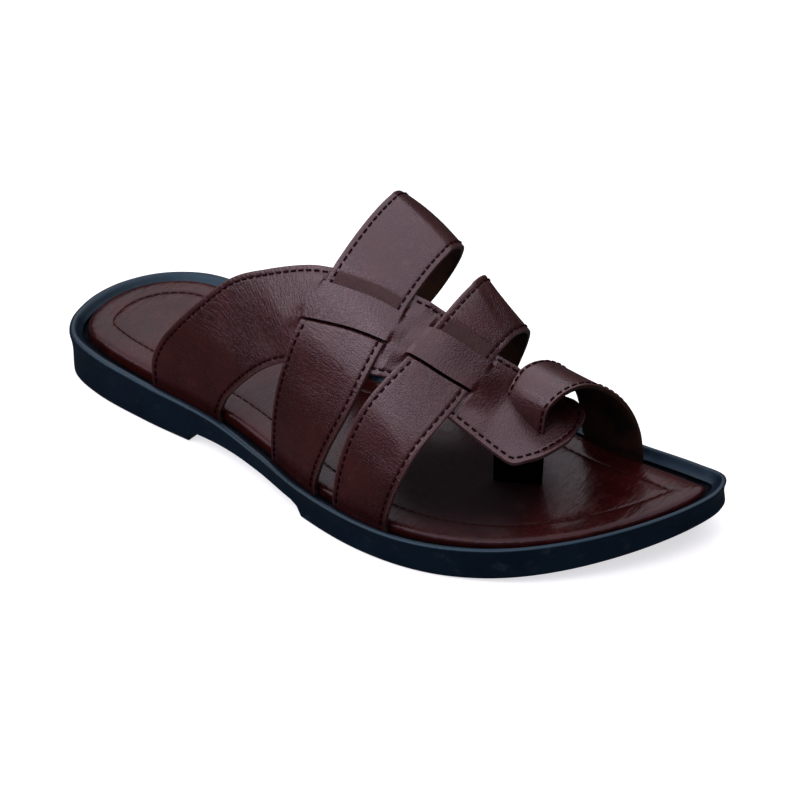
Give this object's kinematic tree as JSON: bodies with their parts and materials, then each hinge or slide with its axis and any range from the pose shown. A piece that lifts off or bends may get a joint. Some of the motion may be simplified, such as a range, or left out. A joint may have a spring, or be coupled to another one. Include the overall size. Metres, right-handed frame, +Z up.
{
  "type": "slide sandal",
  "caption": "Open flat slide sandal: leather straps woven through a forward-running strap, with a loop for the big toe, on a moulded rubber sole.",
  "frame": {"origin": "on the floor under the middle of the heel, on the centre line of the heel", "axes": "+X towards the toe, +Y towards the inner (medial) side, +Z up"},
  "size_m": [0.2887, 0.1049, 0.1038],
  "materials": {
    "outsole": "satin moulded rubber, blue-black",
    "insole": "glossy padded brown leather",
    "upper": "smooth dark reddish-brown leather, satin"
  },
  "bodies": {
    "root": {"outsole": "outsole", "insole": "insole", "upper": "upper"}
  },
  "joints": []
}
